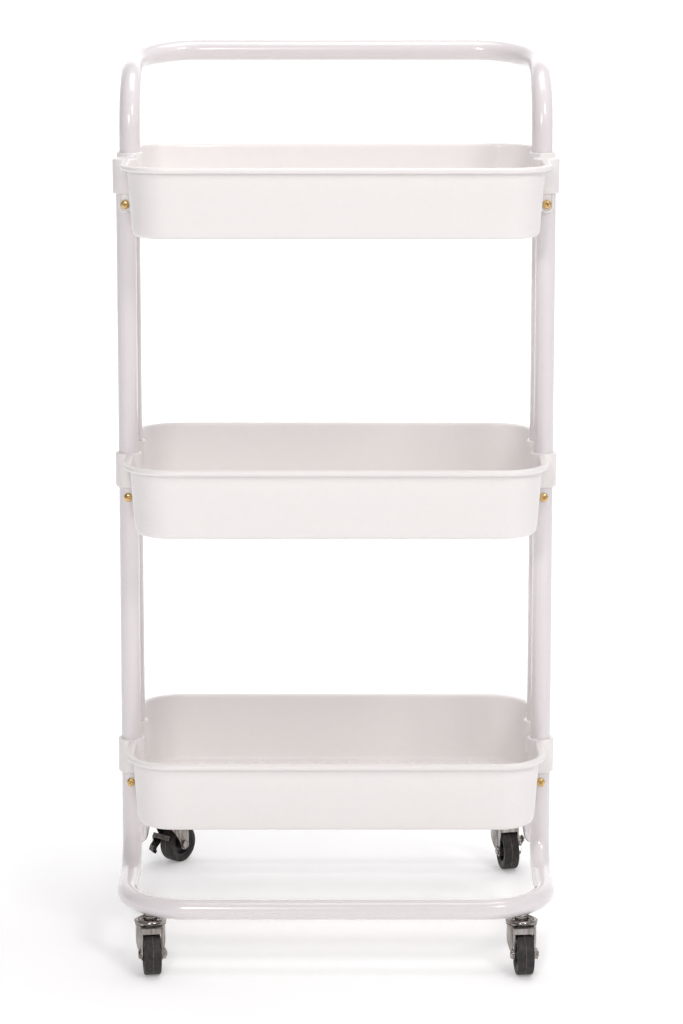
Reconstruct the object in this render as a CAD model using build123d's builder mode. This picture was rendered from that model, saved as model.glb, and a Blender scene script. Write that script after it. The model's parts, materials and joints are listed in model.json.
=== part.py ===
"""Three-tier rolling utility cart: bent tube frame, push handle, pressed trays and swivel casters.

Millimetres. +Z is up, X runs across the width, -Y is the front of the cart.
The origin is on the floor, under the middle of the frame.
"""
from build123d import *
from math import radians, tan
import os

# ---------------------------------------------------------------- driving dimensions
# frame tubes
upright_x = 205.0          # uprights stand left and right at this distance from the middle
upright_y = 32.0           # front and rear uprights, either side of the middle
tube_d = 19.5
tube_wall = 1.2
base_bar_y = 170.0         # front and rear cross bars
base_bar_z = 63.3
base_rise_bend = 38.0      # bend from upright to the run along the floor
base_corner_bend = 62.0    # bend from that run into the cross bar

# push handle, sleeved over the tops of the rear uprights
handle_d = 21.0
handle_wall = 0.65
handle_bar_y = 170.0
handle_bar_z = 870.0
handle_slope = 10.0        # degrees, the side runs climb towards the cross bar
handle_rise_bend = 60.0
handle_corner_bend = 65.0
handle_lap = 32.0          # the handle ends this far under the top rim
rear_upright_drop = 8.0    # the rear uprights end this far under the top rim, inside the handle

# plugs in the tops of the front uprights
cap_height = 2.0
cap_edge = 0.6
cap_plug_depth = 10.0

# trays
rim_heights = {"top": 777.5, "middle": 486.5, "bottom": 195.5}
tray_height = 69.5
rim_x, rim_y, rim_corner = 414.0, 264.0, 46.0          # outside the rolled rim
wall_x, wall_y, wall_corner = 401.2, 251.2, 39.6       # outside the wall, at the rim
floor_x, floor_y, floor_corner = 391.0, 241.0, 36.0    # outside the wall, at the floor
sheet = 1.0
rim_bead_d = 5.4
floor_edge_radius = 5.0
channel_gap = 0.5          # clearance of the channels pressed in the walls round the uprights

# drain pattern pressed through each floor: four short slots in a cross, repeated
drain_pitch_x, drain_pitch_y = 31.6, 30.1
drain_columns, drain_rows = 12, 8
drain_slot_length, drain_slot_width, drain_slot_offset = 5.6, 1.8, 6.0

# sleeves that hold each tray on the uprights
collar_d = 26.0
collar_height = 34.0
slip = 0.1                 # clearance between a sleeve and its tube
screw_drop = 44.0          # screws sit this far under the rim
screw_head_d = 8.6
screw_head_height = 3.0
screw_shank_d = 4.0
screw_length = 13.0
screw_brim = 0.7           # straight edge of the head under its dome
recess_length, recess_width, recess_depth = 3.6, 0.9, 1.4
collar_chamfer = 0.8
tab_drop = 52.0            # lower end of the locking tabs under the top tray
tab_width = 13.0
tab_sheet = 1.3

# casters: wheel
caster_x, caster_y = 180.0, 158.0
trail = 15.4
wheel_d, wheel_width = 40.0, 17.0
tyre_bore_d = 27.0
shoulder_w, shoulder_h = 1.5, 1.8      # rounding between the tread and each side
bore_edge_w, bore_edge_h = 1.1, 1.6
seam_w, seam_h = 0.3, 0.15             # half width and height of the moulding seam on the tread
hub_web = 2.2                          # half thickness of the web between boss and rim
hub_rim_half, hub_rim_r = 7.0, 11.4
hub_boss_half, hub_boss_r = 8.75, 5.5
hub_draft = 0.5                        # taper of the boss and rim towards the web

# casters: fork, pressed from one sheet
fork_sheet = 1.4
fork_half_width = 10.5
crown_r = 15.3
fork_cup_r = 14.5
crown_top = 47.0
leg_end_r = 6.0
leg_front_y, leg_front_dz = -9.9, -2.4     # where the leading edge leaves the rounded leg end
crown_back_y, crown_back_z = 8.0, 43.0     # where it meets the crown skirt
crown_skirt_y = 9.0
front_plate_z = 41.3                       # lower edge of the plate that bridges the fork over the tread

# casters: axle
axle_d = 6.0
axle_head_d, axle_head_height, axle_head_edge = 9.2, 2.8, 2.0
axle_nut_flats, axle_nut_height, axle_end = 9.4, 3.2, 4.2
axle_end_chamfer = 0.5

# casters: ball race, stud, nut and tube insert
ball_r, ball_circle_r, ball_z, ball_count = 1.5, 11.0, 48.2, 16
race_gap = 0.1
race_sheet, race_edge_r, race_dish = 1.2, 15.6, 1.0
stud_d, stud_head_d, stud_head_height, stud_head_edge = 8.0, 14.0, 2.2, 1.6
stud_head_gap = 0.4
stud_clearance = 0.4
nut_flats, nut_height, nut_gap = 12.0, 3.1, 0.2
insert_d, insert_depth = 11.0, 12.0
insert_flange_d, insert_flange = 13.8, 1.0
thread_fit = 0.05

# casters: brake lever of the rear pair, (y, z) in the plane of the wheel
brake_pin_y, brake_pin_z = -13.5, 31.0
brake_pin_d, brake_pin_head_d, brake_pin_head = 4.0, 6.2, 1.1
brake_spacer_d = 6.4
lever_x, lever_sheet, lever_eye_r = 15.7, 1.3, 4.2
lever_outline = [(-12.5, 35.0), (-4.8, 29.0), (6.0, 23.4), (10.2, 19.8), (12.2, 15.0), (3.2, 8.0),
                 (0.2, 10.0), (1.6, 13.0), (-0.8, 15.5), (-8.0, 20.5), (-16.0, 27.7)]
shoe_outline = [(4.2, 32.5), (6.9, 28.2), (5.8, 27.5), (3.1, 31.8)]
shoe_arm_outline = [(-4.8, 29.0), (3.1, 31.8), (4.2, 32.5), (6.9, 28.2), (6.0, 23.4)]
shoe_reach = -6.0
pedal_outline = [(10.2, 19.8), (12.2, 15.0), (11.0, 14.5), (9.0, 19.3)]
pedal_reach = 11.0

# name, pivot, heading of the fork (0 trails to the front), has a brake
casters = [
    ("front_left", (-caster_x, -caster_y), 8.0, False),
    ("front_right", (caster_x, -caster_y), 5.0, False),
    ("rear_left", (-caster_x, caster_y), 140.0, True),
    ("rear_right", (caster_x, caster_y), 12.0, True),
]

os.makedirs("parts", exist_ok=True)
sides = (-1, 1)
rim_top = rim_heights["top"]
tube_r = tube_d / 2
handle_r = handle_d / 2
wheel_r = wheel_d / 2
axle_z = wheel_r


def save(part, name):
    """Label a finished piece and write it to its own STEP file."""
    part.label = name
    export_step(part, f"parts/{name}.step")


def bent_tube(points, radii, outer_r, wall):
    """A round tube along straight runs joined by tangent bends."""
    with BuildPart() as tube:
        with BuildLine() as path:
            FilletPolyline(*points, radius=radii)
        with BuildSketch(Plane(origin=points[0], z_dir=path.line % 0)):
            Circle(outer_r)
            Circle(outer_r - wall, mode=Mode.SUBTRACT)
        sweep(path=path.line)
    return tube.part


def upright_points(y):
    """Centres of the left and right upright in one row."""
    return [(side * upright_x, y) for side in sides]


# ---------------------------------------------------------------- frame
def base_path(row, top_z):
    """Up-and-over route of one frame tube: upright, floor run, cross bar, floor run, upright."""
    near, far = row * upright_y, row * base_bar_y
    half = [(-upright_x, near, top_z), (-upright_x, near, base_bar_z), (-upright_x, far, base_bar_z)]
    return half + [(-x, y, z) for x, y, z in reversed(half)]


def frame_tube(row, top_z, screw_levels):
    """One bent frame tube with its caster holes and screw holes."""
    bends = [base_rise_bend, base_corner_bend, base_corner_bend, base_rise_bend]
    body = bent_tube(base_path(row, top_z), bends, tube_r, tube_wall)
    with BuildPart() as tube:
        add(body)
        with BuildSketch(Plane.XY.offset(base_bar_z - tube_d)):
            with Locations(*[(side * caster_x, row * caster_y) for side in sides]):
                Circle(insert_d / 2)
        extrude(amount=tube_d, mode=Mode.SUBTRACT)
        face = Plane(origin=(0, row * (upright_y + tube_d), 0), x_dir=(1, 0, 0), z_dir=(0, -row, 0))
        with BuildSketch(face):
            holes = [face.to_local_coords(Vector(side * upright_x, row * (upright_y + tube_d), z))
                     for side in sides for z in screw_levels]
            with Locations(*holes):
                Circle(screw_shank_d / 2)
        extrude(amount=tube_d, mode=Mode.SUBTRACT)
    return tube.part


all_screws = [z - screw_drop for z in rim_heights.values()]
save(frame_tube(-1, rim_top - cap_height, all_screws), "front_frame_tube")
save(frame_tube(1, rim_top - rear_upright_drop, all_screws), "rear_frame_tube")

handle_knee_z = handle_bar_z - (handle_bar_y - upright_y) * tan(radians(handle_slope))
handle_end_z = rim_top - handle_lap
handle_half = [
    (-upright_x, upright_y, handle_end_z),
    (-upright_x, upright_y, handle_knee_z),
    (-upright_x, handle_bar_y, handle_bar_z),
]
handle_tube = bent_tube(
    handle_half + [(-x, y, z) for x, y, z in reversed(handle_half)],
    [handle_rise_bend, handle_corner_bend, handle_corner_bend, handle_rise_bend],
    handle_r, handle_wall,
)
save(handle_tube, "handle_tube")

with BuildPart() as upright_caps:
    with BuildSketch(Plane.XY.offset(rim_top - cap_height)):
        with Locations(*upright_points(-upright_y)):
            Circle(tube_r)
    extrude(amount=cap_height)
    fillet(upright_caps.faces().sort_by(Axis.Z)[-2:].edges(), cap_edge)
    with BuildSketch(Plane.XY.offset(rim_top - cap_height)):
        with Locations(*upright_points(-upright_y)):
            Circle(tube_r - tube_wall - slip)
    extrude(amount=-cap_plug_depth)
save(upright_caps.part, "upright_end_caps")


# ---------------------------------------------------------------- trays
def tray_shape(inset):
    """Tapered round-cornered body between the floor and the rim, inset by a wall thickness."""
    with BuildPart() as shape:
        with BuildSketch(Plane.XY.offset(inset - tray_height)):
            RectangleRounded(floor_x - 2 * inset, floor_y - 2 * inset, floor_corner - inset)
        with BuildSketch(Plane.XY):
            RectangleRounded(wall_x - 2 * inset, wall_y - 2 * inset, wall_corner - inset)
        loft(ruled=True)
        fillet(shape.faces().sort_by(Axis.Z)[0].edges(), floor_edge_radius - inset)
    return shape.part


def at_uprights():
    """Centres of all four uprights."""
    return Locations(*upright_points(-upright_y), *upright_points(upright_y))


bead_x, bead_y = rim_x - rim_bead_d, rim_y - rim_bead_d
bead_corner = rim_corner - rim_bead_d / 2
channel_r = tube_r + channel_gap

# hollow of the tray, standing clear of the channels that the uprights run through
with BuildPart() as tray_hollow:
    add(tray_shape(sheet))
    with BuildSketch(Plane.XY):
        with at_uprights():
            Circle(channel_r + sheet)
    extrude(amount=-tray_height, mode=Mode.SUBTRACT)

with BuildSketch(Plane.XY.offset(-rim_bead_d / 2)) as rim_outline:
    RectangleRounded(bead_x, bead_y, bead_corner)
rim_path = rim_outline.sketch.face().outer_wire()

# one pressed tray with its rim at height 0: floor, tapered wall, turned-out flange and rolled rim
with BuildPart() as tray:
    add(tray_shape(0))
    with BuildSketch(Plane.XY):
        RectangleRounded(bead_x, bead_y, bead_corner)
    extrude(amount=-sheet)
    with BuildSketch(Plane(origin=rim_path @ 0, z_dir=rim_path % 0)):
        Circle(rim_bead_d / 2)
    sweep(path=rim_path)
    add(tray_hollow.part, mode=Mode.SUBTRACT)
    with BuildSketch(Plane.XY):
        with at_uprights():
            Circle(collar_d / 2)
    extrude(amount=-collar_height, mode=Mode.SUBTRACT)
    with BuildSketch(Plane.XY):
        with at_uprights():
            Circle(channel_r)
    extrude(amount=-tray_height, mode=Mode.SUBTRACT)
    with BuildSketch(Plane.XY.offset(-tray_height)):
        with GridLocations(drain_pitch_x, drain_pitch_y, drain_columns, drain_rows):
            with PolarLocations(drain_slot_offset, 4):
                Rectangle(drain_slot_length, drain_slot_width)
    extrude(amount=sheet, mode=Mode.SUBTRACT)


def collar_part(bore_radii):
    """The four sleeves of one tray; bore_radii gives the front and rear bores."""
    with BuildPart() as collars:
        with BuildSketch(Plane.XY):
            with at_uprights():
                Circle(collar_d / 2)
        extrude(amount=-collar_height)
        chamfer(collars.edges().filter_by(GeomType.CIRCLE), collar_chamfer)
        for y, bore in zip((-upright_y, upright_y), bore_radii):
            with BuildSketch(Plane.XY):
                with Locations(*upright_points(y)):
                    Circle(bore)
            extrude(amount=-collar_height, mode=Mode.SUBTRACT)
    return collars.part


def screw_part(seat):
    """One pan-head screw for a front upright, with its head bearing at y = -seat."""
    outer = Plane(origin=(0, -seat - screw_head_height, 0), x_dir=(1, 0, 0), z_dir=(0, -1, 0))
    under = outer.offset(-screw_head_height)
    with BuildPart() as screw:
        with BuildSketch(under):
            Circle(screw_head_d / 2)
        extrude(amount=screw_head_height)
        fillet(screw.faces().sort_by(Axis.Y)[0].edges(), screw_head_height - screw_brim)
        with BuildSketch(under):
            Circle(screw_shank_d / 2)
        extrude(amount=-screw_length)
        with BuildSketch(outer):
            Rectangle(recess_length, recess_width)
            Rectangle(recess_width, recess_length)
        extrude(amount=-recess_depth, mode=Mode.SUBTRACT)
    return screw.part


for tier, rim_z in rim_heights.items():
    top_tier = tier == "top"
    rear_bore = (handle_r if top_tier else tube_r) + slip
    rim_place = Location((0, 0, rim_z))
    save(tray.part.moved(rim_place), f"{tier}_tray")
    save(collar_part((tube_r + slip, rear_bore)).moved(rim_place), f"{tier}_tray_collars")
    screw = screw_part(tube_r + tab_sheet + slip if top_tier else tube_r)
    with BuildPart() as screws:
        for row in sides:
            for side in sides:
                seat = (side * upright_x, row * upright_y, rim_z - screw_drop)
                add(screw.moved(Location(seat, (0, 0, 0 if row < 0 else 180))))
    save(screws.part, f"{tier}_tray_screws")


# ---------------------------------------------------------------- locking tabs under the top tray
def tab_outline(width):
    """Flat outline of a tab, heights measured from the rim: straight sides, half-round lower end."""
    half = width / 2
    lower_z = -tab_drop + tab_width / 2
    upper_z = -collar_height
    with BuildSketch() as outline:
        with BuildLine():
            Polyline((-half, lower_z), (-half, upper_z), (half, upper_z), (half, lower_z))
            ThreePointArc((half, lower_z), (0, lower_z - half), (-half, lower_z))
        make_face()
    return outline.sketch


def tab_layer(inner_r, opening):
    """One sheet thickness of a tab, curved round the tube; an opening leaves only its border."""
    facing = Plane(origin=(0, 0, 0), x_dir=(1, 0, 0), z_dir=(0, -1, 0))
    with BuildPart() as layer:
        with BuildSketch(facing):
            add(tab_outline(tab_width))
        extrude(amount=collar_d)
        if opening:
            with BuildSketch(facing):
                add(tab_outline(opening))
            extrude(amount=collar_d, mode=Mode.SUBTRACT)
        with BuildSketch(Plane.XY.offset(-tab_drop)):
            Circle(inner_r + tab_sheet)
            Circle(inner_r, mode=Mode.SUBTRACT)
        extrude(amount=tab_drop - collar_height, mode=Mode.INTERSECT)
    return layer.part


# a curved plate hugging the tube, with a raised lip round its edge and a screw hole
tab_bore = tube_r + slip
tab_plate = tab_layer(tab_bore, 0)
tab_lip = tab_layer(tab_bore + tab_sheet, tab_width - 2 * tab_sheet)
with BuildPart() as tab:
    add(tab_plate)
    add(tab_lip)
    with BuildSketch(Plane(origin=(0, 0, -screw_drop), x_dir=(1, 0, 0), z_dir=(0, -1, 0))):
        Circle(screw_shank_d / 2)
    extrude(amount=collar_d, mode=Mode.SUBTRACT)

with BuildPart() as locking_tabs:
    for row in sides:
        for side in sides:
            place = (side * upright_x, row * upright_y, rim_top)
            add(tab.part.moved(Location(place, (0, 0, 0 if row < 0 else 180))))
save(locking_tabs.part, "locking_tabs")


# ---------------------------------------------------------------- caster parts fixed to the frame
def at_casters():
    """Pivot centres of the four casters."""
    return Locations(*[pivot for _, pivot, _, _ in casters])


def ball_race(half, gap):
    """Three points of the groove that the balls run in: its upper (1) or lower (-1) half."""
    reach = ball_r + gap
    crest = (ball_circle_r, ball_z + half * reach)
    return (ball_circle_r - reach, ball_z), crest, (ball_circle_r + reach, ball_z)


race_dish_z = ball_z + race_dish
nut_z = race_dish_z + nut_gap
insert_flange_z = base_bar_z - tube_r - insert_flange - thread_fit
stud_head_z = crown_top - fork_sheet - stud_head_gap
stud_hole_r = stud_d / 2 + thread_fit

with BuildPart() as top_race:
    with BuildSketch(Plane.XZ):
        with BuildLine():
            under = ball_race(1, race_gap)
            outer = ball_r + race_gap + race_sheet
            lean = (outer ** 2 - (race_dish_z - ball_z) ** 2) ** 0.5
            inner_knee = (ball_circle_r - lean, race_dish_z)
            outer_knee = (ball_circle_r + lean, race_dish_z)
            rim_low, rim_high = ball_z - race_sheet / 2, ball_z + race_sheet / 2
            ThreePointArc(*under)
            Polyline(under[2], (race_edge_r, rim_low), (race_edge_r, rim_high), outer_knee)
            ThreePointArc(outer_knee, (ball_circle_r, ball_z + outer), inner_knee)
            Polyline(inner_knee, (stud_hole_r, race_dish_z), (stud_hole_r, ball_z), under[0])
        make_face()
    revolve(axis=Axis.Z)

with BuildPart() as caster_races:
    with at_casters():
        add(top_race.part)
save(caster_races.part, "caster_top_races")

with BuildPart() as caster_studs:
    with BuildSketch(Plane.XY.offset(stud_head_z)):
        with at_casters():
            Circle(stud_head_d / 2)
    extrude(amount=-stud_head_height)
    fillet(caster_studs.faces().sort_by(Axis.Z)[:len(casters)].edges(), stud_head_edge)
    with BuildSketch(Plane.XY.offset(stud_head_z)):
        with at_casters():
            Circle(stud_d / 2)
    extrude(amount=base_bar_z - stud_head_z)
save(caster_studs.part, "caster_studs")

with BuildPart() as caster_nuts:
    with BuildSketch(Plane.XY.offset(nut_z)):
        with at_casters():
            RegularPolygon(nut_flats / 2, 6, major_radius=False)
            Circle(stud_hole_r, mode=Mode.SUBTRACT)
    extrude(amount=nut_height)
save(caster_nuts.part, "caster_nuts")

with BuildPart() as caster_inserts:
    with BuildSketch(Plane.XY.offset(insert_flange_z)):
        with at_casters():
            Circle(insert_flange_d / 2)
    extrude(amount=insert_flange)
    with BuildSketch(Plane.XY.offset(insert_flange_z)):
        with at_casters():
            Circle(insert_d / 2 - slip)
    extrude(amount=insert_depth)
    with BuildSketch(Plane.XY.offset(insert_flange_z)):
        with at_casters():
            Circle(stud_hole_r)
    extrude(amount=insert_depth, mode=Mode.SUBTRACT)
save(caster_inserts.part, "caster_inserts")


# ---------------------------------------------------------------- swivelling parts
# drawn with the pivot on the Z axis and the wheel trailing to -Y
leg_end_z = axle_z - leg_end_r
fork_height = crown_top - leg_end_z

with BuildPart() as fork:
    with BuildSketch(Plane.XY.offset(leg_end_z)) as outline:
        Circle(fork_cup_r)
        with Locations((0, -(trail + leg_end_r) / 2)):
            Rectangle(2 * fork_half_width, trail + leg_end_r)
    extrude(amount=fork_height)
    with BuildSketch(Plane.XY.offset(leg_end_z)):
        offset(outline.sketch, amount=-fork_sheet)
    extrude(amount=fork_height - fork_sheet, mode=Mode.SUBTRACT)
    with BuildSketch(Plane.YZ.offset(-2 * crown_r)):
        with BuildLine():
            lead = (leg_front_y, axle_z + leg_front_dz)
            back = (-trail - leg_end_r, axle_z)
            skirt = [(crown_back_y, crown_back_z), (crown_skirt_y, crown_top)]
            Polyline(lead, *skirt, (back[0], crown_top), back)
            ThreePointArc(back, (-trail, leg_end_z), lead)
        make_face()
    extrude(amount=4 * crown_r, mode=Mode.INTERSECT)
    with BuildSketch(Plane.XY.offset(leg_end_z)):
        with Locations((0, back[0])):
            Rectangle(2 * (fork_half_width - fork_sheet), 4 * fork_sheet)
    extrude(amount=front_plate_z - leg_end_z, mode=Mode.SUBTRACT)
    with BuildSketch(Plane.XY.offset(crown_top)):
        Circle(crown_r)
    extrude(amount=-fork_sheet)
    with BuildSketch(Plane.XY.offset(crown_top)):
        Circle(stud_d / 2 + stud_clearance)
    extrude(amount=-fork_sheet, mode=Mode.SUBTRACT)
    with BuildSketch(Plane.XZ):
        with Locations((ball_circle_r, ball_z)):
            Circle(ball_r + race_gap)
    revolve(axis=Axis.Z, mode=Mode.SUBTRACT)
    with BuildSketch(Plane.YZ.offset(-2 * crown_r)):
        with Locations((-trail, axle_z)):
            Circle(axle_d / 2 + thread_fit)
    extrude(amount=4 * crown_r, mode=Mode.SUBTRACT)

with BuildPart() as braked_fork:
    add(fork.part)
    with BuildSketch(Plane.YZ):
        with Locations((brake_pin_y, brake_pin_z)):
            Circle(brake_pin_d / 2 + thread_fit)
    extrude(amount=2 * crown_r, mode=Mode.SUBTRACT)

with BuildPart() as balls:
    with PolarLocations(ball_circle_r, ball_count):
        with Locations((0, 0, ball_z)):
            Sphere(ball_r)

with BuildPart() as axle_bolt:
    with BuildSketch(Plane.YZ.offset(-fork_half_width)):
        with Locations((-trail, axle_z)):
            Circle(axle_head_d / 2)
    extrude(amount=-axle_head_height)
    fillet(axle_bolt.faces().sort_by(Axis.X)[0].edges(), axle_head_edge)
    with BuildSketch(Plane.YZ.offset(-fork_half_width)):
        with Locations((-trail, axle_z)):
            Circle(axle_d / 2)
    extrude(amount=2 * fork_half_width + axle_end)
    chamfer(axle_bolt.faces().sort_by(Axis.X)[-1].edges(), axle_end_chamfer)

with BuildPart() as axle_nut:
    with BuildSketch(Plane.YZ.offset(fork_half_width)):
        with Locations((-trail, axle_z)):
            RegularPolygon(axle_nut_flats / 2, 6, major_radius=False)
            Circle(axle_d / 2 + thread_fit, mode=Mode.SUBTRACT)
    extrude(amount=axle_nut_height)


def mirrored(half_profile):
    """A closed wheel profile from its right half, given as (x, radius) from the bore outwards."""
    return [*half_profile, *[(-x, r) for x, r in reversed(half_profile)]]


half_width, tyre_bore_r = wheel_width / 2, tyre_bore_d / 2
tread_r = wheel_r - seam_h
tyre_profile = mirrored([
    (half_width - bore_edge_w, tyre_bore_r), (half_width, tyre_bore_r + bore_edge_h),
    (half_width, tread_r - shoulder_h), (half_width - shoulder_w, tread_r),
    (1.5 * seam_w, tread_r), (seam_w, wheel_r),
])
hub_profile = mirrored([
    (hub_boss_half, axle_d / 2 + slip), (hub_boss_half, hub_boss_r), (hub_web, hub_boss_r + hub_draft),
    (hub_web, hub_rim_r - hub_draft), (hub_rim_half, hub_rim_r), (hub_rim_half, tyre_bore_r),
])
with BuildPart() as tyre:
    with BuildSketch(Plane.XY):
        with BuildLine():
            Polyline(*tyre_profile, close=True)
        make_face()
    revolve(axis=Axis.X)

with BuildPart() as hub:
    with BuildSketch(Plane.XY):
        with BuildLine():
            Polyline(*hub_profile, close=True)
        make_face()
    revolve(axis=Axis.X)

wheel_place = Location((0, -trail, axle_z))
lever_outer_x = lever_x + lever_sheet

# the pin is riveted in the fork; its spacer and head hold the lever with a little end play
with BuildPart() as brake_pin:
    with BuildSketch(Plane.YZ.offset(fork_half_width - fork_sheet)):
        with Locations((brake_pin_y, brake_pin_z)):
            Circle(brake_pin_d / 2)
    extrude(amount=lever_outer_x + slip + brake_pin_head - fork_half_width + fork_sheet)
    with BuildSketch(Plane.YZ.offset(fork_half_width)):
        with Locations((brake_pin_y, brake_pin_z)):
            Circle(brake_spacer_d / 2)
    extrude(amount=lever_x - slip - fork_half_width)
    with BuildSketch(Plane.YZ.offset(lever_outer_x + slip)):
        with Locations((brake_pin_y, brake_pin_z)):
            Circle(brake_pin_head_d / 2)
    extrude(amount=brake_pin_head)

# side plate with an eye, a shoe bent in over the tread and a pedal lip bent in at the front
with BuildPart() as brake_lever:
    with BuildSketch(Plane.YZ.offset(lever_x)):
        with Locations((brake_pin_y, brake_pin_z)):
            Circle(lever_eye_r)
        for plate in (lever_outline, shoe_arm_outline):
            with BuildLine():
                Polyline(*plate, close=True)
            make_face()
    extrude(amount=lever_sheet)
    for flange, reach in ((shoe_outline, shoe_reach), (pedal_outline, pedal_reach)):
        with BuildSketch(Plane.YZ.offset(reach)):
            with BuildLine():
                Polyline(*flange, close=True)
            make_face()
        extrude(amount=lever_outer_x - reach)
    with BuildSketch(Plane.YZ.offset(lever_x)):
        with Locations((brake_pin_y, brake_pin_z)):
            Circle(brake_pin_d / 2 + thread_fit)
    extrude(amount=lever_sheet, mode=Mode.SUBTRACT)

for caster, pivot, heading, braked in casters:
    place = Location((*pivot, 0), (0, 0, heading))
    pieces = {
        "fork": (braked_fork if braked else fork).part,
        "balls": balls.part,
        "axle_bolt": axle_bolt.part,
        "axle_nut": axle_nut.part,
        "tyre": tyre.part.moved(wheel_place),
        "hub": hub.part.moved(wheel_place),
    }
    if braked:
        pieces["brake_pin"] = brake_pin.part
        pieces["brake_lever"] = brake_lever.part
    for piece, shape in pieces.items():
        save(shape.moved(place), f"{caster}_{piece}")
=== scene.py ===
"""Looks for the three-tier rolling cart: materials, fine pieces, floor, lights and camera."""
import math
import bpy
import bmesh
from mathutils import Matrix, Vector
from mathutils.geometry import delaunay_2d_cdt
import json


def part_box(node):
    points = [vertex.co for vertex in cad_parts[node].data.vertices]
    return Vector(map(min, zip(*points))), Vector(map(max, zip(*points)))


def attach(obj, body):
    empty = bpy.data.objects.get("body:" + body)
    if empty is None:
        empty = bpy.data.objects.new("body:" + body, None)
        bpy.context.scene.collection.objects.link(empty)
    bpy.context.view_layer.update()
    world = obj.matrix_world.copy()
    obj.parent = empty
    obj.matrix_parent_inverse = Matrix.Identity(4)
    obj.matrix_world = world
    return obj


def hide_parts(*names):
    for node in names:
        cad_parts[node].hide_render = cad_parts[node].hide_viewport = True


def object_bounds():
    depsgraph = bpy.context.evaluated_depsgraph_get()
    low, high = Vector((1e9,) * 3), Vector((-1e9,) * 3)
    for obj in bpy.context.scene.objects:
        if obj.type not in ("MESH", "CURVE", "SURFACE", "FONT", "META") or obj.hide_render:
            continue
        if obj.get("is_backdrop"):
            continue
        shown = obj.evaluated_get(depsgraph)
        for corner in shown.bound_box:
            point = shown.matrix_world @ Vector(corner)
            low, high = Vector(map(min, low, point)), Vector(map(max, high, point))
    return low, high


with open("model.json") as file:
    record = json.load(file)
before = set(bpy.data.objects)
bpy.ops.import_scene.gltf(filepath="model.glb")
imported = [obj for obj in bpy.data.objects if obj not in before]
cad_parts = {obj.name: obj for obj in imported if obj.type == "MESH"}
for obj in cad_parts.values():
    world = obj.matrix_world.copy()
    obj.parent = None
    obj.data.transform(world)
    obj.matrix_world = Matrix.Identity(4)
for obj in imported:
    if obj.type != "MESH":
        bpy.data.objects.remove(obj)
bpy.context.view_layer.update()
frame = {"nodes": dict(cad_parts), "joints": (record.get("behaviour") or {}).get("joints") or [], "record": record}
NODES = frame["nodes"]
SCENE = bpy.context.scene
MM = 0.001          # the object's sizes are in millimetres, the scene and its lamps in metres


# ---------------------------------------------------------------- node material helpers
class Mat:
    """A principled material with short ways to add noise, ramps and bumps."""

    def __init__(self, name, rough=0.5, metallic=0.0, coat=0.0, coat_rough=0.1, ior=1.5, specular=0.5):
        self.mat = bpy.data.materials.new(name)
        self.mat.use_nodes = True
        self.tree = self.mat.node_tree
        self.bsdf = self.tree.nodes["Principled BSDF"]
        self.bsdf.inputs["Roughness"].default_value = rough
        self.bsdf.inputs["Metallic"].default_value = metallic
        self.bsdf.inputs["Coat Weight"].default_value = coat
        self.bsdf.inputs["Coat Roughness"].default_value = coat_rough
        self.bsdf.inputs["IOR"].default_value = ior
        self.bsdf.inputs["Specular IOR Level"].default_value = specular
        self.coord = self.tree.nodes.new("ShaderNodeTexCoord").outputs["Object"]

    def new(self, kind, **values):
        node = self.tree.nodes.new(kind)
        for key, value in values.items():
            setattr(node, key, value)
        return node

    def link(self, out, socket):
        self.tree.links.new(out, socket)

    def noise(self, scale, detail=4.0, rough=0.55, stretch=None, distortion=0.0):
        """Value noise over the object's own coordinates, metres times scale."""
        node = self.new("ShaderNodeTexNoise")
        node.inputs["Scale"].default_value = scale
        node.inputs["Detail"].default_value = detail
        node.inputs["Roughness"].default_value = rough
        node.inputs["Distortion"].default_value = distortion
        source = self.coord
        if stretch:
            mapping = self.new("ShaderNodeMapping")
            mapping.inputs["Scale"].default_value = stretch
            self.link(source, mapping.inputs["Vector"])
            source = mapping.outputs["Vector"]
        self.link(source, node.inputs["Vector"])
        return node.outputs["Fac"]

    def cells(self, scale):
        node = self.new("ShaderNodeTexVoronoi")
        node.inputs["Scale"].default_value = scale
        self.link(self.coord, node.inputs["Vector"])
        return node.outputs["Distance"]

    def ramp(self, fac, stops):
        """Colours or greys along a factor: stops are (position, grey or rgb)."""
        node = self.new("ShaderNodeValToRGB")
        while len(node.color_ramp.elements) < len(stops):
            node.color_ramp.elements.new(0.5)
        for element, (where, colour) in zip(node.color_ramp.elements, stops):
            rgb = colour if isinstance(colour, tuple) else (colour,) * 3
            element.position, element.color = where, (*rgb, 1)
        self.link(fac, node.inputs["Fac"])
        return node.outputs["Color"]

    def mix(self, fac, a, b, blend="MIX"):
        node = self.new("ShaderNodeMix", data_type="RGBA", blend_type=blend)
        for value, socket in ((fac, node.inputs["Factor"]), (a, node.inputs["A"]), (b, node.inputs["B"])):
            if isinstance(value, (int, float)):
                socket.default_value = value
            elif isinstance(value, tuple):
                socket.default_value = (*value, 1)
            else:
                self.link(value, socket)
        return node.outputs["Result"]

    def colour(self, out):
        self.link(out, self.bsdf.inputs["Base Color"])

    def roughness(self, out):
        self.link(out, self.bsdf.inputs["Roughness"])

    def bump(self, height, strength, distance, under=None):
        node = self.new("ShaderNodeBump")
        node.inputs["Strength"].default_value = strength
        node.inputs["Distance"].default_value = distance
        self.link(height, node.inputs["Height"])
        if under:
            self.link(under, node.inputs["Normal"])
        return node.outputs["Normal"]

    def normal(self, out):
        self.link(out, self.bsdf.inputs["Normal"])


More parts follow.
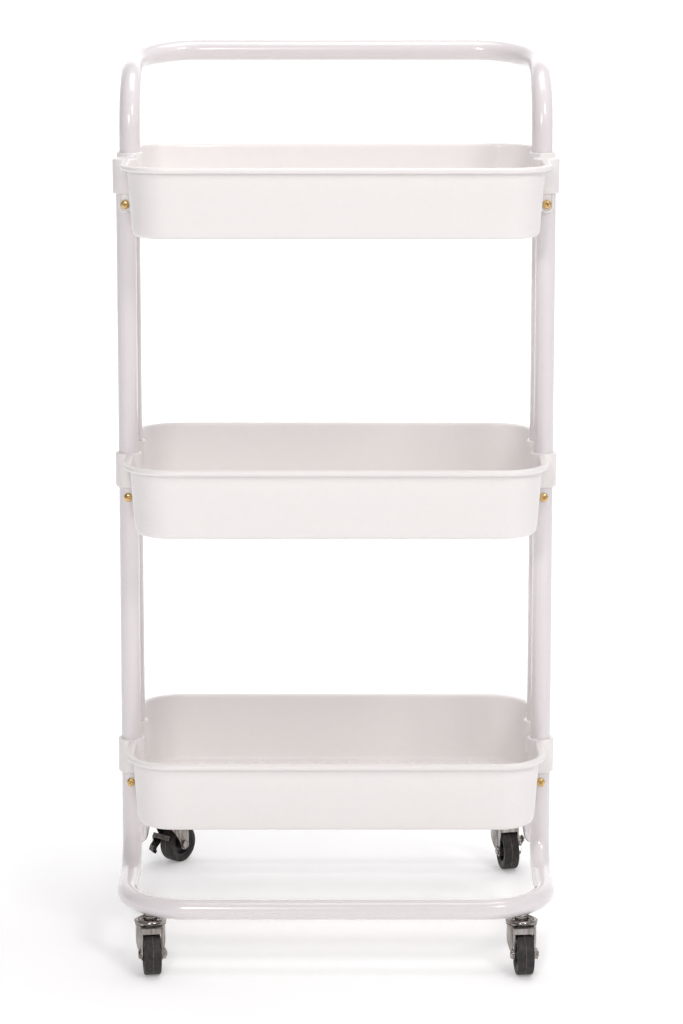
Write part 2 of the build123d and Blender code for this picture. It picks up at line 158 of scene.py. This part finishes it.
def powder_coat(name, base, shade, rough, peel_scale, peel, coat):
    """Cured powder paint: even colour with faint clouding, orange peel and slight gloss changes."""
    m = Mat(name, rough=rough, coat=coat, coat_rough=0.08)
    clouds = m.ramp(m.noise(6, 2), [(0.2, shade), (0.8, base)])
    grime = m.ramp(m.noise(190, 5, 0.65), [(0.36, 0.988), (0.60, 1.0)])
    m.colour(m.mix(1.0, clouds, grime, "MULTIPLY"))
    m.roughness(m.ramp(m.noise(60, 4), [(0.3, rough - 0.03), (0.7, rough + 0.04)]))
    m.normal(m.bump(m.noise(peel_scale, 2, 0.4), peel, 0.0003))
    return m.mat


def zinc_plate(name, base, mottle_and_reflection_brown, rough):
    """Bright zinc plate with brownish streaks, partly mottling and partly painted dark reflections, fine drawn
    lines and small handling marks.
    """
    m = Mat(name, rough=rough, metallic=1.0)
    # long brown streaks: partly plating mottle, partly painted dark reflection bands
    mottle_and_painted_reflection = m.ramp(m.noise(260, 4, 0.5, stretch=(1, 1, 0.16)), [(0.34, mottle_and_reflection_brown), (0.60, base)])
    blotch = m.ramp(m.noise(75, 3), [(0.38, 0.82), (0.62, 1.0)])
    m.colour(m.mix(1.0, mottle_and_painted_reflection, blotch, "MULTIPLY"))
    m.roughness(m.ramp(m.noise(420, 4, stretch=(1, 1, 0.12)), [(0.25, rough - 0.07), (0.75, rough + 0.08)]))
    lines = m.noise(1500, 3, stretch=(1, 1, 0.05))
    m.normal(m.bump(lines, 0.12, 0.0002))
    return m.mat


def screw_gold(name):
    """Yellow zinc: gold that drifts to green and rose."""
    m = Mat(name, rough=0.30, metallic=1.0)
    drift = m.ramp(m.noise(330, 3, distortion=1.2),
                   [(0.28, (0.40, 0.24, 0.09)), (0.48, (0.74, 0.50, 0.20)), (0.66, (0.82, 0.66, 0.34))])
    m.colour(drift)
    m.roughness(m.ramp(m.noise(900, 3), [(0.3, 0.20), (0.7, 0.42)]))
    m.normal(m.bump(m.noise(1300, 2), 0.10, 0.0002))
    return m.mat


def ball_steel(name):
    m = Mat(name, rough=0.12, metallic=1.0)
    m.colour(m.ramp(m.noise(700, 3), [(0.35, (0.60, 0.60, 0.62)), (0.65, (0.78, 0.78, 0.80))]))
    m.roughness(m.ramp(m.noise(500, 2), [(0.3, 0.08), (0.7, 0.20)]))
    return m.mat


def tyre_rubber(name, dark, dusty):
    """Moulded dark rubber: fine grain, floor dust in patches and a dull sheen."""
    m = Mat(name, rough=0.55, specular=0.42)
    dust = m.ramp(m.noise(160, 6, 0.7), [(0.44, dark), (0.74, dusty)])
    scuffs = m.ramp(m.noise(520, 3, stretch=(1, 1, 0.25)), [(0.50, 0.85), (0.72, 1.35)])
    m.colour(m.mix(1.0, dust, scuffs, "MULTIPLY"))
    m.roughness(m.ramp(m.noise(300, 4), [(0.3, 0.44), (0.7, 0.68)]))
    grain = m.bump(m.noise(2600, 3, 0.6), 0.35, 0.0003)
    m.normal(m.bump(m.cells(900), 0.12, 0.0002, grain))
    return m.mat


def hub_plastic(name):
    """Black nylon: satin, with a faint swirl from the mould."""
    m = Mat(name, rough=0.42, specular=0.5)
    swirl = m.noise(240, 4, distortion=0.8)
    m.colour(m.ramp(swirl, [(0.35, (0.012, 0.012, 0.013)), (0.70, (0.030, 0.029, 0.030))]))
    m.roughness(m.ramp(m.noise(330, 3), [(0.3, 0.34), (0.7, 0.54)]))
    m.normal(m.bump(m.noise(1700, 2), 0.14, 0.0002))
    return m.mat


MATERIALS = {
    "frame_coating": powder_coat("frame_coat", (0.800, 0.755, 0.766), (0.788, 0.742, 0.753),
                                 0.22, 700, 0.035, 0.6),
    "tray_coating": powder_coat("tray_coat", (0.880, 0.852, 0.838), (0.872, 0.842, 0.826),
                                0.38, 1300, 0.07, 0.15),
    "screw_plating": screw_gold("screw_gold"),
    # the brown colour here is partly painted dark reflection
    "zinc_plating": zinc_plate("zinc_plate", (0.44, 0.43, 0.42), (0.23, 0.185, 0.15), 0.18),
    "bearing_steel": ball_steel("ball_steel"),
    "tyre_rubber": tyre_rubber("tyre_rubber", (0.019, 0.016, 0.015), (0.047, 0.039, 0.035)),
    "hub_plastic": hub_plastic("hub_plastic"),
}


def paint(obj, slot):
    """Give a piece one material, by the record's slot name."""
    obj.data.materials.clear()
    obj.data.materials.append(MATERIALS[slot])


for row in frame["record"]["subparts"]:
    paint(NODES[row["node"]], row["material_slot"])


CAD_WELD = 0.01


def soften(node, width, segments=2, angle=40):
    """Round the sharp edges of a CAD node: weld its split vertices, then bevel what is left sharp."""
    obj = NODES[node]
    weld = obj.modifiers.new("weld", "WELD")
    weld.merge_threshold = CAD_WELD * MM
    bevel = obj.modifiers.new("bevel", "BEVEL")
    bevel.width, bevel.segments = width, segments
    bevel.limit_method, bevel.angle_limit = "ANGLE", math.radians(angle)
    bevel.use_clamp_overlap = True
    bevel.harden_normals = True


def add_piece(name, mesh, slot, body, place=(0, 0, 0)):
    """Put a finished mesh in the scene with its material, on its body."""
    obj = bpy.data.objects.new(name, mesh)
    SCENE.collection.objects.link(obj)
    obj.location = place
    if not mesh.materials:
        mesh.materials.append(MATERIALS[slot])
    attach(obj, body)
    return obj


def smooth_mesh(name, bm, angle=35):
    """Turn a bmesh into a mesh with smooth shading and sharp edges over the angle."""
    mesh = bpy.data.meshes.new(name)
    bmesh.ops.recalc_face_normals(bm, faces=bm.faces)
    bm.to_mesh(mesh)
    bm.free()
    for face in mesh.polygons:
        face.use_smooth = True
    mesh.set_sharp_from_angle(angle=math.radians(angle))
    return mesh


# ---------------------------------------------------------------- trays
# millimetres; a height is measured from the rim, which is the top of the tray
RIM_HALF_X = 207.0
WALL_HALF_X, WALL_HALF_Y, WALL_CORNER = 200.6, 125.6, 39.6
FLOOR_HALF_X, FLOOR_HALF_Y, FLOOR_CORNER = 195.5, 120.5, 36.0
TRAY_HEIGHT, SHEET, EDGE_RADIUS = 69.5, 1.0, 5.0
BEAD_R, BEAD_TURN = 2.7, 300
FLANGE_DROP, FLANGE_BEND = -2.2, 1.7
EDGE_STEPS, WALL_STEPS, FLANGE_STEPS, BEAD_STEPS, SLOT_STEPS = 8, 23, 4, 20, 5
WALL_LEAN = 86
COLLAR_OVERLAP, COLLAR_LIP = 0.3, 2.0
WELD = 0.02
UPRIGHT_X, UPRIGHT_Y = 205.0, 32.0
COLLAR_R, COLLAR_HEIGHT = 13.0, 34.0
CHANNEL_R, CHANNEL_OVERLAP = 10.75, 1
DRAIN_PITCH_X, DRAIN_PITCH_Y, DRAIN_COLUMNS, DRAIN_ROWS = 31.6, 30.1, 12, 8
SLOT_LENGTH, SLOT_WIDTH, SLOT_OFFSET, SLOT_MARGIN = 5.6, 1.8, 6.0, 0.4
SLOT_INSIDE = 0.999         # share of a slot's half width that counts as inside it
TRAY_TIERS = ("top", "middle", "bottom")
CORNERS = ("front_left", "front_right", "rear_left", "rear_right")


def rounded_ring(half_x, half_y, radius, steps_x=40, steps_y=150, steps_corner=16):
    """Points round a rounded rectangle, always the same number in the same order."""
    points = []
    cx, cy = half_x - radius, half_y - radius
    corners = [(cx, cy, 0), (-cx, cy, 90), (-cx, -cy, 180), (cx, -cy, 270)]
    for k, (x, y, start) in enumerate(corners):
        for i in range(steps_corner + 1):
            a = math.radians(start + 90 * i / steps_corner)
            points.append((x + radius * math.cos(a), y + radius * math.sin(a)))
        last = points[-1]
        nx, ny, nstart = corners[(k + 1) % 4]
        a = math.radians(nstart)
        nxt = (nx + radius * math.cos(a), ny + radius * math.sin(a))
        steps = steps_x if k % 2 == 0 else steps_y
        for i in range(1, steps):
            t = i / steps
            points.append((last[0] + (nxt[0] - last[0]) * t, last[1] + (nxt[1] - last[1]) * t))
    return points


def tray_profile():
    """Middle of the sheet from the floor's edge up the wall, out along the flange and round the rolled rim.

    Each row is (share of the height, outward offset, height under the rim), in millimetres."""
    rows = []
    mid = SHEET / 2
    low_r = EDGE_RADIUS - mid
    for i in range(EDGE_STEPS + 1):
        a = math.radians(-90 + WALL_LEAN * i / EDGE_STEPS)
        z = -TRAY_HEIGHT + EDGE_RADIUS + low_r * math.sin(a)
        rows.append((0.0, -EDGE_RADIUS + low_r * math.cos(a), z))
    wall_foot = rows[-1][2]
    for i in range(1, WALL_STEPS + 1):
        z = wall_foot + (FLANGE_DROP - wall_foot) * i / WALL_STEPS
        rows.append(((z + TRAY_HEIGHT) / TRAY_HEIGHT, -mid, z))
    for i in range(1, FLANGE_STEPS + 1):
        a = math.radians(180 - 90 * i / FLANGE_STEPS)
        out = -mid + FLANGE_BEND + FLANGE_BEND * math.cos(a)
        rows.append((1.0, out, FLANGE_DROP + FLANGE_BEND * math.sin(a)))
    roll_r = BEAD_R - mid
    centre = RIM_HALF_X - WALL_HALF_X - BEAD_R
    for i in range(BEAD_STEPS + 1):
        a = math.radians(90 - BEAD_TURN * i / BEAD_STEPS)
        rows.append((1.0, centre + roll_r * math.cos(a), -BEAD_R + roll_r * math.sin(a)))
    return rows


def ring_at(share, offset):
    """The tray's outline at a share of its height, moved outwards by an offset."""
    def between(a, b):
        return a + (b - a) * share

    half_x, half_y = between(FLOOR_HALF_X, WALL_HALF_X), between(FLOOR_HALF_Y, WALL_HALF_Y)
    return rounded_ring(half_x + offset, half_y + offset, between(FLOOR_CORNER, WALL_CORNER) + offset)


def dent(x, y, z):
    """Push a wall point inwards where an upright's channel or sleeve passes, and report how near it is."""
    side = 1 if x > 0 else -1
    dx, dy = abs(x) - UPRIGHT_X, abs(y) - UPRIGHT_Y
    if abs(dy) < CHANNEL_R and z < -COLLAR_HEIGHT + CHANNEL_OVERLAP:
        limit = UPRIGHT_X - math.sqrt(CHANNEL_R ** 2 - dy ** 2)
        if abs(x) > limit:
            x = side * limit
    return (x, y, z), math.hypot(dx, dy)


def slot_fits(x, y):
    """Whether a slot centred here lies wholly on the flat floor, inside the bend up to the wall."""
    flat_x, flat_y = FLOOR_HALF_X - EDGE_RADIUS, FLOOR_HALF_Y - EDGE_RADIUS
    corner = FLOOR_CORNER - EDGE_RADIUS
    past_x, past_y = abs(x) - flat_x + corner, abs(y) - flat_y + corner
    reach = math.hypot(past_x, past_y) if past_x > 0 and past_y > 0 else max(past_x, past_y)
    return reach < corner - SLOT_LENGTH / 2 - SLOT_MARGIN


def slot_outlines():
    """Outlines of the drain slots: four in a cross, repeated over the flat floor."""
    loops = []
    half, r = SLOT_LENGTH / 2, SLOT_WIDTH / 2
    for column in range(DRAIN_COLUMNS):
        for row in range(DRAIN_ROWS):
            cx = (column - (DRAIN_COLUMNS - 1) / 2) * DRAIN_PITCH_X
            cy = (row - (DRAIN_ROWS - 1) / 2) * DRAIN_PITCH_Y
            for turn in range(4):
                a = math.radians(90 * turn)
                ca, sa = math.cos(a), math.sin(a)
                if not slot_fits(cx + SLOT_OFFSET * ca, cy + SLOT_OFFSET * sa):
                    continue
                loop = []
                for end in (1, -1):
                    for i in range(SLOT_STEPS):
                        b = math.radians(-90 + 180 * i / (SLOT_STEPS - 1))
                        px = SLOT_OFFSET + end * (half - r + r * math.cos(b))
                        py = end * r * math.sin(b)
                        loop.append((cx + px * ca - py * sa, cy + px * sa + py * ca))
                loops.append(loop)
    return loops


def in_slot(x, y):
    """Whether a floor point lies in a drain slot."""
    fx = x / DRAIN_PITCH_X + (DRAIN_COLUMNS - 1) / 2
    fy = y / DRAIN_PITCH_Y + (DRAIN_ROWS - 1) / 2
    lx, ly = (fx - round(fx)) * DRAIN_PITCH_X, (fy - round(fy)) * DRAIN_PITCH_Y
    if not (0 <= round(fx) < DRAIN_COLUMNS and 0 <= round(fy) < DRAIN_ROWS):
        return False
    gx, gy = x - lx, y - ly
    slots = ((abs(lx), abs(ly), gx + math.copysign(SLOT_OFFSET, lx), gy),
             (abs(ly), abs(lx), gx, gy + math.copysign(SLOT_OFFSET, ly)))
    for along, across, slot_x, slot_y in slots:
        reach = max(0.0, abs(along - SLOT_OFFSET) - (SLOT_LENGTH - SLOT_WIDTH) / 2)
        if math.hypot(reach, across) < SLOT_WIDTH / 2 * SLOT_INSIDE and slot_fits(slot_x, slot_y):
            return True
    return False


def tray_mesh():
    """One pressed tray with its rim at height 0: perforated floor, tapered wall and rolled rim."""
    bm = bmesh.new()
    rows = []
    for share, offset, z in tray_profile():
        row = []
        for x, y in ring_at(share, offset):
            point, near = dent(x, y, z)
            row.append((bm.verts.new([c * MM for c in point]), near, z))
        rows.append(row)
    count = len(rows[0])
    for a, b in zip(rows, rows[1:]):
        for i in range(count):
            k = (i + 1) % count
            corners = (a[i], a[k], b[k], b[i])
            hidden = all(near < COLLAR_R - COLLAR_OVERLAP for _, near, _ in corners)
            if hidden and min(z for _, _, z in corners) > -COLLAR_HEIGHT + COLLAR_LIP:
                continue
            bm.faces.new([v for v, _, _ in corners])
    outer = [v.co.copy() for v, _, _ in rows[0]]
    coords = [Vector((v.x / MM, v.y / MM)) for v in outer]
    edges = [(i, (i + 1) % count) for i in range(count)]
    for loop in slot_outlines():
        base = len(coords)
        coords += [Vector(p) for p in loop]
        edges += [(base + i, base + (i + 1) % len(loop)) for i in range(len(loop))]
    flat, _, faces, _, _, _ = delaunay_2d_cdt(coords, edges, [], 0, 1e-5)
    floor_z = outer[0].z
    verts = [bm.verts.new((p.x * MM, p.y * MM, floor_z)) for p in flat]
    for face in faces:
        cx = sum(flat[i].x for i in face) / len(face)
        cy = sum(flat[i].y for i in face) / len(face)
        if not in_slot(cx, cy):
            bm.faces.new([verts[i] for i in face])
    bmesh.ops.remove_doubles(bm, verts=bm.verts, dist=WELD * MM)
    bmesh.ops.delete(bm, geom=[v for v in bm.verts if not v.link_faces], context="VERTS")
    sheet = smooth_mesh("tray_sheet", bm)
    holder = bpy.data.objects.new("tray_holder", sheet)
    SCENE.collection.objects.link(holder)
    solid = holder.modifiers.new("sheet", "SOLIDIFY")
    solid.thickness, solid.offset, solid.use_even_offset = SHEET * MM, 0.0, True
    bpy.context.view_layer.update()
    graph = bpy.context.evaluated_depsgraph_get()
    mesh = bpy.data.meshes.new_from_object(holder.evaluated_get(graph))
    bpy.data.objects.remove(holder)
    mesh.name = "pressed_tray"
    mesh.materials.clear()
    for face in mesh.polygons:
        face.use_smooth = True
    mesh.set_sharp_from_angle(angle=math.radians(40))
    return mesh


pressed_tray = tray_mesh()
for tier in TRAY_TIERS:
    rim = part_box(tier + "_tray")[1].z
    piece = add_piece(tier + "_pressed_tray", pressed_tray, "tray_coating", "cart_frame", (0, 0, rim))
    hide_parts(tier + "_tray")


# ---------------------------------------------------------------- screws
HEAD_R, HEAD_HEIGHT, BRIM, SHANK_R, SHANK_LENGTH = 4.3, 3.0, 0.7, 1.95, 12.0
POINT_R, POINT = 0.4, 0.6          # share of the shank's radius at the tip, and the tip's length
DOME_FULLNESS = 0.9
ARM, ARM_HALF, ARM_FLARE = 2.1, 0.34, 0.10          # length, half width and taper of the recess's arms
FLANK_START, FLANK_WIDTH = 0.10, 0.26
RECESS_R, ARM_DEPTH, MIDDLE_DEPTH = 2.7, 0.45, 1.35
SPIN_STEP, TIER_SPIN = 37, 53          # degrees that the recesses turn from screw to screw and tray to tray
HEAD_STEPS, HEAD_SEGMENTS = 26, 64


def recess_depth(x, y):
    """Depth of the cross recess at a point of the head: steep flanks, deepest in the middle."""
    def outside(along, across):
        return max(along - ARM, across - ARM_HALF - ARM_FLARE * (ARM - along))

    arm = min(outside(abs(x), abs(y)), outside(abs(y), abs(x)))
    edge = min(1.0, max(0.0, (FLANK_START - arm) / FLANK_WIDTH))
    middle = max(0.0, 1 - math.hypot(x, y) / RECESS_R)
    return edge * edge * (3 - 2 * edge) * (ARM_DEPTH + MIDDLE_DEPTH * middle)


def add_screw(bm, place, turn, spin):
    """A domed cross-recess screw: head facing -Y before it is turned about Z, spun about its own axis."""
    around = [2 * math.pi * k / HEAD_SEGMENTS for k in range(HEAD_SEGMENTS)]
    rings = [HEAD_R * math.sin(math.pi / 2 * i / HEAD_STEPS) for i in range(1, HEAD_STEPS + 1)]
    move = Matrix.Translation(place) @ Matrix.Rotation(math.radians(turn), 4, "Z") @ Matrix.Scale(MM, 4)

    def vert(x, z, out):
        return bm.verts.new(move @ Vector((x, -out, z)))

    cs, sn = math.cos(math.radians(spin)), math.sin(math.radians(spin))

    def dome(r):
        height = math.sqrt(max(0.0, 1 - (r / HEAD_R) ** 2))
        return BRIM + (HEAD_HEIGHT - BRIM) * height ** DOME_FULLNESS

    loops = []
    for r in rings:
        loop = []
        for a in around:
            x, z = r * math.cos(a), r * math.sin(a)
            loop.append(vert(x, z, dome(r) - recess_depth(x * cs + z * sn, z * cs - x * sn)))
        loops.append(loop)
    tip = -SHANK_LENGTH - POINT
    for r, out in ((HEAD_R, 0.0), (SHANK_R, 0.0), (SHANK_R, -SHANK_LENGTH), (SHANK_R * POINT_R, tip)):
        loops.append([vert(r * math.cos(a), r * math.sin(a), out) for a in around])
    for a, b in zip(loops, loops[1:]):
        for k in range(HEAD_SEGMENTS):
            n = (k + 1) % HEAD_SEGMENTS
            bm.faces.new((a[k], a[n], b[n], b[k]))
    for loop, out in ((loops[0], dome(0) - recess_depth(0, 0)), (loops[-1], tip)):
        middle = vert(0, 0, out)
        for k in range(HEAD_SEGMENTS):
            bm.faces.new((middle, loop[k], loop[(k + 1) % HEAD_SEGMENTS]))


for tier_number, tier in enumerate(TRAY_TIERS):
    low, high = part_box(tier + "_tray_screws")
    seat = -low.y - HEAD_HEIGHT * MM
    bm = bmesh.new()
    for index, (side, row) in enumerate(((-1, -1), (1, -1), (-1, 1), (1, 1))):
        at = (side * (high.x - HEAD_R * MM), row * seat, (low.z + high.z) / 2)
        spin = (SPIN_STEP * index + TIER_SPIN * tier_number) % 90
        add_screw(bm, at, 0 if row < 0 else 180, spin)
    heads = smooth_mesh("screw_set", bm, 50)
    piece = add_piece(tier + "_screw_set", heads, "screw_plating", "cart_frame")
    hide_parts(tier + "_tray_screws")


# ---------------------------------------------------------------- lips of the locking tabs
TAB_OUTER_R, TAB_LIP_HALF, TAB_LIP_CENTRE = 12.3, 5.8, -45.5
LIP_R, LIP_SINK, LIP_STEPS = 0.95, 0.1, 16


def swept(name, points, radius):
    """A round ridge along a run of points, as a mesh."""
    curve = bpy.data.curves.new(name, "CURVE")
    curve.dimensions, curve.bevel_depth, curve.bevel_resolution = "3D", radius, 4
    curve.use_fill_caps = True
    spline = curve.splines.new("POLY")
    spline.points.add(len(points) - 1)
    for target, point in zip(spline.points, points):
        target.co = (*point, 1)
    holder = bpy.data.objects.new(name, curve)
    SCENE.collection.objects.link(holder)
    bpy.context.view_layer.update()
    graph = bpy.context.evaluated_depsgraph_get()
    mesh = bpy.data.meshes.new_from_object(holder.evaluated_get(graph))
    bpy.data.objects.remove(holder)
    mesh.materials.clear()
    for face in mesh.polygons:
        face.use_smooth = True
    return mesh


def lip_path():
    """Inward offset and height of a tab's lip: round the screw, then slanting up the sleeve to the rim."""
    path = [(-TAB_LIP_HALF, z) for z in (-34.6, -38.0, -42.0)]
    for i in range(LIP_STEPS + 1):
        a = math.pi + math.pi * i / LIP_STEPS
        path.append((TAB_LIP_HALF * math.cos(a), TAB_LIP_CENTRE + TAB_LIP_HALF * math.sin(a)))
    leg = [(TAB_LIP_HALF, -41.0), (5.4, -36.0), (4.7, -31.0), (3.8, -25.0), (2.8, -19.0), (1.6, -13.0)]
    leg += [(0.2, -8.5), (-1.8, -5.2), (-4.2, -3.6)]
    return path + leg


rim_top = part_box("top_tray")[1].z
for side, side_name in ((-1, "left"), (1, "right")):
    for row, row_name in ((-1, "front"), (1, "rear")):
        lip = []
        for inward, z in lip_path():
            around = COLLAR_R if z > -COLLAR_HEIGHT else TAB_OUTER_R
            out = math.sqrt(around ** 2 - inward ** 2) - LIP_SINK
            x, y = side * (UPRIGHT_X - inward) * MM, row * (UPRIGHT_Y + out) * MM
            lip.append((x, y, rim_top + z * MM))
        name = row_name + "_" + side_name + "_tab_lip"
        add_piece(name, swept(name, lip, LIP_R * MM), "tray_coating", "cart_frame")


# ---------------------------------------------------------------- tyres
TYRE_HALF, SHOULDER_R, TREAD_R, TYRE_R, BORE_R = 8.15, 1.8, 19.85, 20.0, 13.5
SHOULDER_STEPS, TYRE_STEPS = 7, 144
SEAM_RUBBER = tyre_rubber("tyre_seam", (0.070, 0.060, 0.054), (0.240, 0.210, 0.190))


def tyre_section():
    """Radius and axial place round the tyre's section: flat tread, small round shoulders, dished sides."""
    half = [(BORE_R, 7.4), (BORE_R + 0.5, 7.6), (14.6, 7.8), (15.3, TYRE_HALF)]
    for i in range(SHOULDER_STEPS + 1):
        a = math.pi / 2 * i / SHOULDER_STEPS
        half.append((TREAD_R - SHOULDER_R * (1 - math.sin(a)), TYRE_HALF - SHOULDER_R * (1 - math.cos(a))))
    return [(r, -x) for r, x in half] + [(r, x) for r, x in reversed(half)]


def seam_section():
    """The thin flash line left by the mould in the middle of the tread."""
    half = [(TREAD_R - 0.3, 0.34), (TREAD_R + 0.02, 0.30), (TYRE_R, 0.14)]
    return [(r, -x) for r, x in half] + list(reversed(half))


def revolved(name, section, centre, axis):
    """A closed section turned about an axis: its points are (radius, along the axis), in mm."""
    along = Vector(axis).normalized()
    across = along.cross(Vector((0, 0, 1))).normalized()
    bm = bmesh.new()
    loops = []
    for step in range(TYRE_STEPS):
        a = 2 * math.pi * step / TYRE_STEPS
        spoke = across * math.cos(a) + Vector((0, 0, 1)) * math.sin(a)
        loops.append([bm.verts.new(centre + (spoke * r + along * x) * MM) for r, x in section])
    for step, loop in enumerate(loops):
        following = loops[(step + 1) % TYRE_STEPS]
        for k in range(len(section)):
            n = (k + 1) % len(section)
            bm.faces.new((loop[k], loop[n], following[n], following[k]))
    return smooth_mesh(name, bm, 30)


AXLES = {joint["name"]: joint["axis"] for joint in frame["joints"]}
for corner in CORNERS:
    low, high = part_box(corner + "_tyre")
    centre = (low + high) / 2
    axis = AXLES[corner + "_roll"]
    rubber = revolved("tyre", tyre_section(), centre, axis)
    tyre = add_piece(corner + "_rubber_tyre", rubber, "tyre_rubber", corner + "_wheel")
    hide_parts(corner + "_tyre")
    seam = revolved("tyre_seam", seam_section(), centre, axis)
    seam.materials.append(SEAM_RUBBER)
    add_piece(corner + "_tyre_seam", seam, "tyre_rubber", corner + "_wheel")


# ---------------------------------------------------------------- edges of the caster parts
CASTER_BEVELS = {"fork": 0.35, "axle_nut": 0.30, "hub": 0.40}
BRAKE_BEVELS = {"brake_lever": 0.30, "brake_pin": 0.30}
for corner in CORNERS:
    bevels = CASTER_BEVELS | (BRAKE_BEVELS if corner.startswith("rear") else {})
    for part, width in bevels.items():
        soften(corner + "_" + part, width * MM)
soften("caster_nuts", 0.40 * MM)
soften("locking_tabs", 0.30 * MM)


# ---------------------------------------------------------------- floor
def floor_sweep():
    """Pale floor that curves up into a back wall."""
    bm = bmesh.new()
    rows = []
    front, back, radius, top, half, steps = -8.0, 5.0, 1.2, 5.0, 9.0, 16
    profile = [(front, 0.0), (back - radius, 0.0)]
    for i in range(1, steps + 1):
        t = math.pi / 2 * i / steps
        profile.append((back - radius + radius * math.sin(t), radius - radius * math.cos(t)))
    profile.append((back, top))
    for y, z in profile:
        rows.append([bm.verts.new((x, y, z)) for x in (-half, half)])
    for a, b in zip(rows, rows[1:]):
        bm.faces.new((a[0], a[1], b[1], b[0]))
    mesh = bpy.data.meshes.new("floor")
    bm.to_mesh(mesh)
    bm.free()
    obj = bpy.data.objects.new("floor", mesh)
    SCENE.collection.objects.link(obj)
    for face in mesh.polygons:
        face.use_smooth = True
    m = Mat("floor_paper", rough=0.9, specular=0.2)
    m.colour(m.ramp(m.noise(1.5, 2), [(0.3, (0.86, 0.86, 0.86)), (0.7, (0.88, 0.88, 0.88))]))
    m.bsdf.inputs["Emission Color"].default_value = (1, 1, 1, 1)
    m.bsdf.inputs["Emission Strength"].default_value = 0.23
    mesh.materials.append(m.mat)
    obj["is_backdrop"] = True


floor_sweep()


# ---------------------------------------------------------------- light
def area(name, place, target, size, power, colour=(1, 1, 1)):
    """A soft rectangular lamp at place, aimed at target."""
    data = bpy.data.lights.new(name, "AREA")
    data.shape, data.size, data.size_y = "RECTANGLE", size[0], size[1]
    data.energy, data.color = power, colour
    obj = bpy.data.objects.new(name, data)
    SCENE.collection.objects.link(obj)
    obj.location = place
    obj.rotation_euler = (Vector(target) - Vector(place)).to_track_quat("-Z", "Y").to_euler()
    obj.visible_camera = False


MIDDLE = (0, 0, 0.45)
area("key", (1.4, -2.0, 2.45), (0, 0, 0.55), (0.7, 0.7), 19, (1.0, 0.970, 0.950))
area("front", (-0.5, -2.8, 1.9), MIDDLE, (0.5, 0.5), 22, (1.0, 0.975, 0.965))
area("top", (0.3, 0.1, 2.8), MIDDLE, (1.4, 1.4), 20)
area("backdrop", (0, 1.8, 3.2), (0, 5.0, 1.0), (5.0, 1.2), 120)


def studio_world():
    """Soft surrounding light, darker on the left."""
    world = bpy.data.worlds.new("studio")
    SCENE.world = world
    world.use_nodes = True
    tree = world.node_tree
    coord = tree.nodes.new("ShaderNodeTexCoord")
    split = tree.nodes.new("ShaderNodeSeparateXYZ")
    tree.links.new(coord.outputs["Generated"], split.inputs["Vector"])
    ramp = tree.nodes.new("ShaderNodeValToRGB")
    ramp.color_ramp.interpolation = "EASE"
    dark, light = ramp.color_ramp.elements
    dark.position, dark.color = 0.08, (0.30, 0.290, 0.298, 1)
    light.position, light.color = 0.62, (0.62, 0.61, 0.625, 1)
    shift = tree.nodes.new("ShaderNodeMath")
    shift.operation = "MULTIPLY_ADD"
    shift.inputs[1].default_value, shift.inputs[2].default_value = 0.5, 0.5
    tree.links.new(split.outputs["X"], shift.inputs[0])
    tree.links.new(shift.outputs["Value"], ramp.inputs["Fac"])
    tree.links.new(ramp.outputs["Color"], tree.nodes["Background"].inputs["Color"])
    tree.nodes["Background"].inputs["Strength"].default_value = 0.80


studio_world()
SCENE.view_settings.view_transform = "Standard"


# ---------------------------------------------------------------- camera
LENS, SENSOR = 109.0441, 36.0          # millimetres
SHIFT_X, SHIFT_Y = 0.005371, -0.17          # shares of the frame's longer side
PITCH = math.radians(8.866)
CAMERA_PLACE = (0, -3.0436, 1.0701)

camera_data = bpy.data.cameras.new("camera")
camera_data.sensor_width, camera_data.lens = SENSOR, LENS
camera_data.shift_x, camera_data.shift_y = SHIFT_X, SHIFT_Y
camera = bpy.data.objects.new("camera", camera_data)
SCENE.collection.objects.link(camera)
camera.location = CAMERA_PLACE
camera.rotation_mode = "QUATERNION"
aim = Vector((0, math.cos(PITCH), -math.sin(PITCH)))
camera.rotation_quaternion = aim.to_track_quat("-Z", "Y")
SCENE.camera = camera

low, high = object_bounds()
